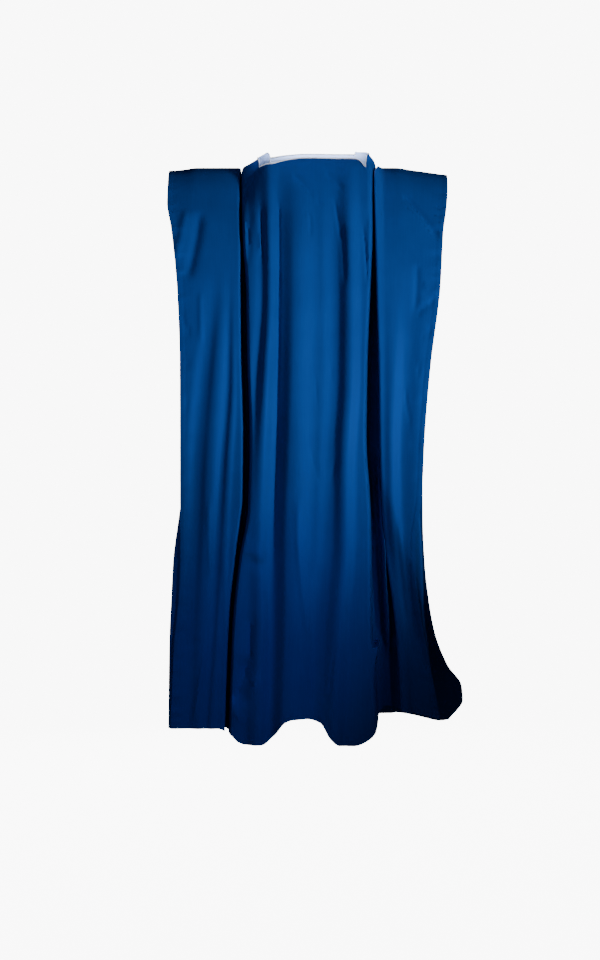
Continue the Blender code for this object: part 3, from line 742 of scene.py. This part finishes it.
def panel_points(profile, hem, edges, folds, creases, marks, seed):
    """The fine grid of a panel."""
    along = FINE[:, None]
    z = read(profile, 2, along)
    left_edge, right_edge = read(edges, 1, z), read(edges, 2, z)
    run = EDGE_RUN_TOP + (EDGE_RUN - EDGE_RUN_TOP) * smooth(along / 0.15)
    angle = 0.5 * np.pi * np.arange(EDGE_STEPS + 1)[None, :] / EDGE_STEPS
    inward = -seam_depth(along) * (1.0 - np.cos(angle))
    left = left_edge - run * (1.0 - np.sin(angle))
    right = right_edge + run * (1.0 - np.sin(angle))
    across = marks(along, left[:, :1], right[:, :1])
    x = np.concatenate([left[:, :0:-1], across, right[:, 1:]], axis=1)
    flat = np.zeros(across.shape)
    out = np.concatenate([inward[:, :0:-1], flat, inward[:, 1:]], axis=1)
    turn = np.broadcast_to(np.cos(angle), left.shape)
    share = np.concatenate([turn[:, :0:-1], flat + 1.0, turn[:, 1:]], axis=1)
    place_z = z + np.zeros(x.shape)
    out = out + share * fold_height(folds, x, place_z)
    out = out + share * crease_height(creases, x, place(profile, hem, x, along, 0.0)[..., 2])
    calm = smooth((along - 0.10) / 0.15)
    out = out + share * calm * uneven(x, place_z, seed, 0.0016)
    distance = (FINE[-1] - along) + np.zeros(x.shape)
    out = out + share * (hem_turn(distance) + puckers(x, distance, seed + 5, 0.0005))
    sag = neck_sag(x, along) if profile is BACK_PROFILE else 0.0
    return place(profile, hem, x, along + sag, out)


def ramp(start, end, count):
    """Places from start to just before end, in even steps, for every row."""
    t = np.arange(count)[None, :] / count
    return start + (end - start) * t


BAND_COLUMNS = 6
BACK_NECK_COLUMNS = 56
OUTER_COLUMNS = 5


def back_marks(along, left, right):
    """Places across the back: shoulder, band, neck, band, shoulder."""
    inner = [neck_side(side, along, False) for side in (1, -1)]
    lean = smooth(along / BAND_DROP_BACK)
    outer = [BAND_TOP[side] + (BAND_BACK[side] - BAND_TOP[side]) * lean for side in (1, -1)]
    ease = smooth((along - 0.10) / 0.35)
    outer = [outer[0] + (0.098 - outer[0]) * ease, outer[1] + (-0.103 - outer[1]) * ease]
    inner = [inner[0] + (0.074 - inner[0]) * ease, inner[1] + (-0.078 - inner[1]) * ease]
    outer = [np.minimum(outer[0], left - 0.0015), np.maximum(outer[1], right + 0.0015)]
    parts = [
        ramp(left, outer[0], OUTER_COLUMNS),
        ramp(outer[0], inner[0], BAND_COLUMNS),
        ramp(inner[0], inner[1], BACK_NECK_COLUMNS),
        ramp(inner[1], outer[1], BAND_COLUMNS),
        ramp(outer[1], right, OUTER_COLUMNS),
        right,
    ]
    return np.concatenate(parts, axis=1)


FRONT_SIDE_COLUMNS = 30
BAND_TILT = math.hypot(1.0, NECK_TOP[1] / NECK_DROP_FRONT)


def front_marks(along, left, right):
    """Places across the front: side, band, V edge twice, band, side."""
    ease = smooth((along - NECK_DROP_FRONT - BAND_TIP) / 0.25)
    parts = []
    for side, edge in ((1, left), (-1, right)):
        inner = neck_side(side, along, True)
        width = abs(BAND_TOP[side] - NECK_TOP[side])
        width = width + (BAND_WIDTH * BAND_TILT - width) * smooth(along / 0.12)
        past = np.clip((along - NECK_DROP_FRONT) / BAND_TIP, 0.0, 1.0)
        width = width * (1.0 - 0.55 * past)
        width = width + (0.034 - width) * ease
        outer = inner + side * width
        half = [ramp(edge, outer, FRONT_SIDE_COLUMNS), ramp(outer, inner, BAND_COLUMNS), inner]
        parts.append(np.concatenate(half, axis=1))
    return np.concatenate([parts[0], parts[1][:, ::-1]], axis=1)


def row_of(along):
    """The fine row at a main row's place."""
    return ALONG.index(along) * ROWS_PER_STEP


NECK_ROW, BAND_ROW = row_of(0.074), row_of(0.0915)
V_ROW, TIP_ROW = row_of(0.270), row_of(0.305)

# Back of the robe, with the neck cut out
back_points = panel_points(
    BACK_PROFILE, BACK_HEM, BACK_EDGES, BACK_FOLDS, BACK_CREASES, back_marks, 3
)
band_left = EDGE_STEPS + OUTER_COLUMNS
neck_left = band_left + BAND_COLUMNS
neck_right = neck_left + BACK_NECK_COLUMNS
back_points[0, :, 1] += 0.5 * SEAM_GAP
keep = np.ones((back_points.shape[0] - 1, back_points.shape[1] - 1), bool)
keep[:NECK_ROW, neck_left:neck_right] = False
back_of_robe = sheet_mesh("back_of_robe", back_points, keep, False, CLOTH, robe_cloth)

# Front of the robe, with its V
front_points = panel_points(
    FRONT_PROFILE, FRONT_HEM, FRONT_EDGES, FRONT_FOLDS, FRONT_CREASES, front_marks, 8
)
front_points[0, :, 1] -= 0.5 * SEAM_GAP
middle = EDGE_STEPS + FRONT_SIDE_COLUMNS + BAND_COLUMNS
keep = np.ones((front_points.shape[0] - 1, front_points.shape[1] - 1), bool)
keep[:, middle] = False


def close_below_v(ids):
    """The doubled middle column is one below the point of the V."""
    ids = ids.copy()
    ids[V_ROW:, middle + 1] = ids[V_ROW:, middle]
    return ids


front_of_robe = sheet_mesh(
    "front_of_robe", front_points, keep, True, CLOTH, robe_cloth, close_below_v
)


FOLD_TURNS = np.radians(np.arange(18, 180, 18))
# Columns of a sleeve's section, from the seam, that lie in the hollow beside the panel
SEAM_COLUMNS = 4
HOLLOW_COLUMNS = 18


def sleeve_points(profile, hem, side, table, folds, creases, edge, along, seed, crest, turned):
    """The fine grid of one half of a folded sleeve, from the seam to the free hem."""
    along = along[:, None]
    z = read(profile, 2, along)
    radius = FOLD_RADIUS
    inner, outer, free = (read(table, column, z) for column in (1, 2, 3))
    seam = np.abs(edge)[:, None]
    depth = seam_depth(along)
    layer_1, layer_2 = -4.0 * radius, -2.0 * radius
    bottom = -depth - 0.004
    rise = inner + 0.022
    still = np.zeros(z.shape)
    path = [
        (seam, -depth - SEAM_GAP),
        (seam + 0.0006, -depth - 0.0020),
        (seam + 0.0022, bottom + 0.0004),
        (seam + 0.0042, bottom),
        (seam + 0.0065, bottom),
    ]
    start, end = seam + 0.0065, inner + 0.006
    middle = 0.5 if crest is None else (read(crest, 1, z) - start) / (end - start)
    middle = np.clip(middle, 0.15, 0.85)
    for t in np.linspace(0.1, 1.0, 13):
        t = middle * t / 0.55 if t < 0.55 else middle + (1.0 - middle) * (t - 0.55) / 0.45
        path.append((start + (end - start) * t, bottom + 0.42 * (layer_1 - bottom) * t))
    path += [
        (inner + 0.010, bottom + 0.62 * (layer_1 - bottom)),
        (inner + 0.015, bottom + 0.82 * (layer_1 - bottom)),
        (rise, layer_1 - 0.001),
    ]
    path += [(rise + (outer - radius - rise) * t, layer_1) for t in np.linspace(0.08, 1.0, 12)]
    for turn in FOLD_TURNS:
        out = -3.0 * radius - radius * np.cos(turn)
        path.append((outer - radius + radius * np.sin(turn), out))
    path += [
        (outer - radius + (inner + 2.0 * radius - outer) * t, layer_2)
        for t in np.linspace(0.0, 1.0, 13)
    ]
    for turn in FOLD_TURNS:
        path.append((inner + radius - radius * np.sin(turn), -radius - radius * np.cos(turn)))
    count = len(path)
    path += [(inner + radius + (free - inner - radius) * t, 0.0) for t in np.linspace(0.0, 1.0, 44)]
    x = np.concatenate([p[0] + still for p in path], axis=1)
    out = np.concatenate([p[1] + still for p in path], axis=1)
    share = smooth((x - inner - 0.002) / 0.02)
    place_z = z + np.zeros(x.shape)
    out = out + share * fold_height(folds, x, place_z, SLEEVE_FOLDS_GROW)
    calm = smooth((along - 0.04) / 0.15)
    out = out + share * calm * uneven(x, place_z, seed, 0.0012)
    real_z = place(profile, hem, side * x, along, 0.0)[..., 2]
    if turned is not None:
        column = np.arange(x.shape[1])[None, :]
        layers = np.clip((column - SEAM_COLUMNS) / 15.0, 0.0, 1.0)
        out = out - layers * turned(x, real_z)
    if crest is not None:
        middle = read(crest, 1, z)
        low = np.exp(-(((x - middle) / 0.0050) ** 2)) * (x < inner + 0.004)
        out[:, :HOLLOW_COLUMNS] += (read(crest, 2, z) * low)[:, :HOLLOW_COLUMNS]
    shown = np.zeros(x.shape)
    shown[:, count:] = 1.0
    out = out + shown * crease_height(creases, x, real_z)
    distance = free - x
    out = out + shown * (hem_turn(distance) + calm * puckers(along, distance, seed + 1, 0.0016))
    rest = (FINE[-1] - along) + np.zeros(x.shape)
    out = out + hem_turn(rest) + puckers(x, rest, seed + 2, 0.0004)
    return place(profile, hem, side * x, along, out)


# Slanting line on the right sleeve: z at x, fall of z along x, its cosine
TURN_LINE = {"z": -0.670, "x": 0.156, "fall": 2.9, "cosine": 0.325}


def lower_turn(x, z):
    """How far the lower back of the right sleeve turns in, below the slanting line."""
    line = TURN_LINE["z"] - (x - TURN_LINE["x"]) * TURN_LINE["fall"]
    below = (line - z) * TURN_LINE["cosine"]
    return 0.014 * smooth(below / 0.045) + 0.022 * np.clip(below / 0.16, 0.0, 1.0)


def rim_curl(x, z):
    """How far the rim of the right sleeve's front curls back towards the wearer."""
    height = read(RIM_CURL, 1, z)
    return height * np.clip((x - 0.228) / 0.070, 0.0, 1.0) ** 2


def sleeve(
    name, side, back_table, front_table, folds, creases, column, seed,
    crest=None, back_turn=None, front_turn=None,
):
    """A whole sleeve, from the back hem over the shoulder to the front hem."""
    edge = read(BACK_EDGES, column, read(BACK_PROFILE, 2, FINE))
    back = sleeve_points(
        BACK_PROFILE, BACK_HEM, side, back_table, folds, creases, edge, FINE, seed, crest, back_turn
    )
    edge = read(FRONT_EDGES, column, read(FRONT_PROFILE, 2, FINE))
    front = sleeve_points(
        FRONT_PROFILE, FRONT_HEM, side, front_table, folds, (), edge, FINE, seed + 40,
        None, front_turn,
    )
    middle_row = (back[:1] + front[:1]) / 2.0
    points = np.concatenate([back[:0:-1], middle_row, front[1:]], axis=0)
    keep = np.ones((points.shape[0] - 1, points.shape[1] - 1), bool)
    return points, sheet_mesh(name, points, keep, side > 0, CLOTH, robe_cloth)


left_points, left_sleeve = sleeve(
    "left_sleeve", 1, LEFT_BACK, LEFT_FRONT, LEFT_FOLDS, LEFT_CREASES, 1, 21
)
right_points, right_sleeve = sleeve(
    "right_sleeve", -1, RIGHT_BACK, RIGHT_FRONT, RIGHT_FOLDS, RIGHT_CREASES, 2, 27,
    RIGHT_CREST, lower_turn, rim_curl,
)


# Neck band, made from the cloth's own points and moved out
def moved_out(points, distance):
    """The points moved out along the cloth's own direction."""
    down = np.gradient(points, axis=0)
    across = np.gradient(points, axis=1)
    way = np.cross(down, across)
    way /= np.maximum(np.linalg.norm(way, axis=2, keepdims=True), 1e-12)
    return points + way * distance


back_out = moved_out(back_points, BAND_OUT)
front_out = moved_out(front_points, -BAND_OUT)


def pulled(points, end, towards, distance):
    """The rows with the point at one end moved a little along the row."""
    points = points.copy()
    way = points[:, towards] - points[:, end]
    way /= np.linalg.norm(way, axis=1, keepdims=True)
    points[:, end] += way * distance
    return points


def all_cells(points):
    """A mark for every cell of a grid."""
    return np.ones((points.shape[0] - 1, points.shape[1] - 1), bool)


band_grids = {}
grid = back_out[NECK_ROW:BAND_ROW + 1, neck_left:neck_right + 1]
grid = pulled(pulled(grid, 0, 1, 0.0003), -1, -2, 0.0003)
band_grids["back_neck_band"] = (grid, False)
for name, back_from, front_from, end, towards in (
    ("left_neck_band", band_left, middle - BAND_COLUMNS, -1, -2),
    ("right_neck_band", neck_right, middle + 1, 0, 1),
):
    back_strip = back_out[:, back_from:back_from + BAND_COLUMNS + 1]
    front_strip = front_out[:, front_from:front_from + BAND_COLUMNS + 1]
    ridge = (back_strip[:1] + front_strip[:1]) / 2.0
    grid = np.concatenate([back_strip[BAND_ROW:0:-1], ridge, front_strip[1:TIP_ROW + 1]], axis=0)
    band_grids[name] = (pulled(grid, end, towards, 0.0006), True)
bands = {}
for name, (grid, flip) in band_grids.items():
    bands[name] = sheet_mesh(name, grid, all_cells(grid), flip, BAND_CLOTH, band_cloth)


# Rows of stitches and cords that follow a line
def named_tree(name, inputs, output):
    """An empty node tree with its named inputs and the shape it gives."""
    tree = bpy.data.node_groups.new(name, "GeometryNodeTree")
    for label, kind in inputs.items():
        tree.interface.new_socket(label, in_out="INPUT", socket_type="NodeSocket" + kind)
    tree.interface.new_socket(output, in_out="OUTPUT", socket_type="NodeSocketGeometry")
    return tree


def stitch_tree():
    """Threads of one length set along a line at a spacing."""
    tree = named_tree("row of stitches", {
        "Line": "Geometry", "Stitch spacing": "Float", "Stitch length": "Float",
        "Thread radius": "Float", "Thread": "Material",
    }, "Stitches")
    given = add(tree, "NodeGroupInput", (-800, 0))
    even = add(tree, "GeometryNodeResampleCurve", (-560, 100), {"mode": "LENGTH"},
               Curve=given.outputs["Line"], Length=given.outputs["Stitch spacing"])
    thread = add(tree, "GeometryNodeMeshCylinder", (-560, -160), {"fill_type": "TRIANGLE_FAN"},
                 Vertices=6, Radius=given.outputs["Thread radius"],
                 Depth=given.outputs["Stitch length"])
    way = add(tree, "GeometryNodeInputTangent", (-560, -420))
    turn = add(tree, "FunctionNodeAlignRotationToVector", (-360, -380), {"axis": "Z"},
               Vector=way.outputs["Tangent"])
    sewn = add(tree, "GeometryNodeInstanceOnPoints", (-160, 60), None,
               Points=even.outputs["Curve"], Instance=thread.outputs["Mesh"],
               Rotation=turn.outputs["Rotation"])
    real = add(tree, "GeometryNodeRealizeInstances", (40, 60),
               Geometry=sewn.outputs["Instances"])
    dyed = add(tree, "GeometryNodeSetMaterial", (220, 60), Geometry=real.outputs["Geometry"],
               Material=given.outputs["Thread"])
    add(tree, "NodeGroupOutput", (420, 60), Stitches=dyed.outputs["Geometry"])
    return tree


def cord_tree():
    """A round cord that follows a line."""
    tree = named_tree("round cord", {
        "Line": "Geometry", "Cord radius": "Float", "Cord material": "Material",
    }, "Cord")
    given = add(tree, "NodeGroupInput", (-600, 0))
    ring = add(tree, "GeometryNodeCurvePrimitiveCircle", (-400, -160), Resolution=8,
               Radius=given.outputs["Cord radius"])
    tube = add(tree, "GeometryNodeCurveToMesh", (-200, 0), Curve=given.outputs["Line"],
               Fill_Caps=True)
    tree.links.new(ring.outputs["Curve"], tube.inputs["Profile Curve"])
    real = add(tree, "GeometryNodeRealizeInstances", (0, 0), Geometry=tube.outputs["Mesh"])
    dyed = add(tree, "GeometryNodeSetMaterial", (200, 0), Geometry=real.outputs["Geometry"],
               Material=given.outputs["Cord material"])
    add(tree, "NodeGroupOutput", (400, 0), Cord=dyed.outputs["Geometry"])
    return tree


STITCHES, CORD = stitch_tree(), cord_tree()


def follow(name, lines, tree, values):
    """A piece that a node tree makes along one or more lines, as a plain mesh."""
    curve = bpy.data.curves.new(name, "CURVE")
    curve.dimensions = "3D"
    for line in lines:
        spline = curve.splines.new("POLY")
        spline.points.add(len(line) - 1)
        spline.points.foreach_set("co", np.c_[line, np.ones(len(line))].ravel())
    source = bpy.data.objects.new(name + "_line", curve)
    ROBE.objects.link(source)
    made = source.modifiers.new("along the line", "NODES")
    made.node_group = tree
    sockets = {s.name: s.identifier for s in tree.interface.items_tree if s.in_out == "INPUT"}
    for label, value in values.items():
        made[sockets[label]] = value
    graph = bpy.context.evaluated_depsgraph_get()
    mesh = bpy.data.meshes.new_from_object(source.evaluated_get(graph))
    bpy.data.objects.remove(source)
    mesh.name = name
    mesh.shade_smooth()
    mesh.set_sharp_from_angle(angle=math.radians(50))
    piece = bpy.data.objects.new(name, mesh)
    ROBE.objects.link(piece)
    return piece


def surface_line(points, column_or_row, lift, flip, by_row):
    """A line on a grid's surface, lifted off it."""
    lifted = moved_out(points, -lift if flip else lift)
    return lifted[column_or_row] if by_row else lifted[:, column_or_row]


def inset_line(points, inset, lift, turned):
    """A line a set distance in from the grid's last column, lifted off the cloth."""
    step = np.linalg.norm(points[:, -1] - points[:, -2], axis=1).mean()
    back = max(1, int(round(inset / step)))
    return surface_line(points, -1 - back, lift, turned, False)


# The hem's stitches: distance from the edge, height of the thread's middle over the cloth
HEM_SEWN = HEM_WIDTH - 0.001
THREAD_LIFT = 0.0007
hem_row = int(np.argmin(np.abs(FINE - (FINE[-1] - HEM_SEWN))))
hem_lines = {
    "left_sleeve_hem_stitches": [inset_line(left_points, HEM_SEWN, THREAD_LIFT, True)],
    "right_sleeve_hem_stitches": [inset_line(right_points, HEM_SEWN, THREAD_LIFT, False)],
    "bottom_hem_stitches": [
        surface_line(back_points, hem_row, THREAD_LIFT, False, True),
        surface_line(front_points, hem_row, THREAD_LIFT, True, True),
    ],
}
pieces = [
    follow(name, lines, STITCHES, {
        "Stitch spacing": 0.0045, "Stitch length": 0.0030, "Thread radius": 0.00028,
        "Thread": robe_thread,
    })
    for name, lines in hem_lines.items()
]

# Piping on both borders of the band, and a row of white stitches beside it
PIPING_LIFT = 0.0004
borders, rows = [], []
for name, (grid, turned) in band_grids.items():
    lifted = moved_out(grid, -PIPING_LIFT if turned else PIPING_LIFT)
    above = moved_out(grid, -THREAD_LIFT if turned else THREAD_LIFT)
    if name == "back_neck_band":
        borders += [lifted[0], lifted[-1]]
        rows += [above[3], above[-4]]
    else:
        borders += [lifted[:, 0], lifted[:, -1]]
        rows += [above[:, 1], above[:, -2]]
        borders += [lifted[0]]
piping = follow("neck_band_piping", borders, CORD, {
    "Cord radius": 0.0013, "Cord material": piping_cloth,
})
stitching = follow("neck_band_stitches", rows, STITCHES, {
    "Stitch spacing": 0.0034, "Stitch length": 0.0023, "Thread radius": 0.00025,
    "Thread": band_thread,
})
pieces += [piping, stitching]

# What each piece stands for: it is hung on the root and the frame part it replaces is hidden. The
# size of its flat cut is listed but not used
for piece, node, flat in (
    (back_of_robe, "back_panel", (0.36, 1.26)),
    (front_of_robe, "front_panel", (0.36, 1.26)),
    (left_sleeve, "sleeve_left", (0.50, 2.44)),
    (right_sleeve, "sleeve_right", (0.47, 2.44)),
):
    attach(piece, "root")
    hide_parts(node)
for name, node, flat in (
    ("back_neck_band", "neck_band_back", (0.0175, 0.185)),
    ("left_neck_band", "neck_band_left", (0.0255, 0.440)),
    ("right_neck_band", "neck_band_right", (0.0255, 0.440)),
):
    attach(bands[name], "root")
    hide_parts(node)
for piece in pieces:
    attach(piece, "root")

# Floor and backdrop: a round bowl of paper with a rounded corner and an upright wall
FLOOR_Z = -1.62
FLOOR_RADIUS = 11.0
CORNER = 1.2
WALL_TOP = 9.0
ROUND = 48


def studio(name, colour_text, roughness):
    """Smooth studio paper: matt and even, with a faint grain."""
    made, tree = new_material(name)
    cut = add(tree, "ShaderNodeTexCoord", (-700, 0))
    grain = add(tree, "ShaderNodeTexNoise", (-500, 0), Vector=cut.outputs["Object"],
                Scale=6.0, Detail=2.0)
    relief = add(tree, "ShaderNodeBump", (-300, -100), Height=grain.outputs["Fac"],
                 Strength=0.02, Distance=0.002)
    shader = add(tree, "ShaderNodeBsdfPrincipled", (0, 0), None,
                 Base_Color=linear(colour_text), Roughness=roughness,
                 Normal=relief.outputs["Normal"], Emission_Color=linear("FFFFFF"),
                 Emission_Strength=9.0)
    add(tree, "ShaderNodeOutputMaterial", (300, 0), Surface=shader.outputs["BSDF"])
    return made


paper = studio("pale studio paper", "F7F8F8", 0.9)
side_view = [(0.0, FLOOR_Z), (FLOOR_RADIUS, FLOOR_Z)]
side_view += [
    (FLOOR_RADIUS + CORNER * math.sin(a), FLOOR_Z + CORNER - CORNER * math.cos(a))
    for a in np.linspace(0.2, math.pi / 2, 8)
]
side_view += [(FLOOR_RADIUS + CORNER, WALL_TOP)]
verts = [
    (r * math.cos(math.tau * n / ROUND), r * math.sin(math.tau * n / ROUND), z)
    for r, z in side_view
    for n in range(ROUND)
]
faces = [
    (low + n, low + (n + 1) % ROUND, low + ROUND + (n + 1) % ROUND, low + ROUND + n)
    for low in range(0, (len(side_view) - 1) * ROUND, ROUND)
    for n in range(ROUND)
]
mesh = bpy.data.meshes.new("studio_floor")
mesh.from_pydata(verts, [], faces)
mesh.materials.append(paper)
mesh.shade_smooth()
floor = bpy.data.objects.new("studio_floor", mesh)
bpy.context.scene.collection.objects.link(floor)
floor.visible_diffuse = floor.visible_glossy = False


# Light and camera. Focal length and image height, in pixels
FOCAL_PIXELS = 1634.0
FRAME_PIXELS = 960.0


def soft_light(name, at, aim, size, power, colour_text="FFFFFF"):
    """A square soft light aimed at a point."""
    lamp = bpy.data.lights.new(name, "AREA")
    lamp.shape = "SQUARE"
    lamp.size = size
    lamp.energy = power
    lamp.color = linear(colour_text)[:3]
    holder = bpy.data.objects.new(name, lamp)
    bpy.context.scene.collection.objects.link(holder)
    holder.location = at
    way = np.array(aim, float) - np.array(at, float)
    flat = math.hypot(way[0], way[1])
    holder.rotation_euler = (math.atan2(flat, -way[2]), 0.0, math.atan2(-way[0], way[1]))
    return holder


def soft_spot(name, at, aim, angle, radius, power, colour_text="FFFFFF", border=1.0):
    """A spot light aimed at a point. Its border is the share of the cone that fades."""
    holder = soft_light(name, at, aim, 1.0, 1.0)
    lamp = bpy.data.lights.new(name, "SPOT")
    lamp.spot_size = math.radians(angle)
    lamp.spot_blend = border
    lamp.shadow_soft_size = radius
    lamp.energy = power
    lamp.color = linear(colour_text)[:3]
    holder.data = lamp
    return holder


soft_spot("key light", (-2.5, 2.3, -0.95), (-0.06, 0.1, -0.22), 26.2, 0.16, 500.0)
soft_spot("low light", (-0.9, 1.7, 0.2), (0.12, 0.12, -1.04), 17.0, 0.10, 64.0, "8FA6FF")
soft_spot("second light", (2.0, 2.9, -0.60), (0.0, 0.1, -0.30), 38.0, 0.40, 58.0, "A9BEFF")
soft_spot("neck light", (-0.01, -0.76, 1.55), (-0.012, 0.05, 0.03), 8.3, 0.04, 610.0, "C6D6FF", 0.5)
soft_spot("upper light", (0.25, 0.75, 1.75), (-0.005, 0.03, 0.04), 8.4, 0.10, 70.0, "C6D6FF")
soft_light("even light", (0.3, 3.4, -0.3), (0.0, 0.0, -0.8), 1.2, 1.2, "7A94FF")
soft_light("front fill", (0.5, -2.6, 0.0), (0.0, 0.0, -0.5), 1.8, 44.0)

world = bpy.data.worlds.new("studio")
world.use_nodes = True
world.node_tree.nodes["Background"].inputs["Color"].default_value = linear("F4F7FC")
world.node_tree.nodes["Background"].inputs["Strength"].default_value = 0.03
bpy.context.scene.world = world

camera = bpy.data.cameras.new("camera")
camera.sensor_width = 36.0
camera.lens = camera.sensor_width * FOCAL_PIXELS / FRAME_PIXELS
camera.clip_end = 60.0
eye = bpy.data.objects.new("camera", camera)
bpy.context.scene.collection.objects.link(eye)
eye.location = (0.0164, 3.5, -0.668)
eye.rotation_euler = (math.pi / 2, 0.0, math.pi)
bpy.context.scene.camera = eye
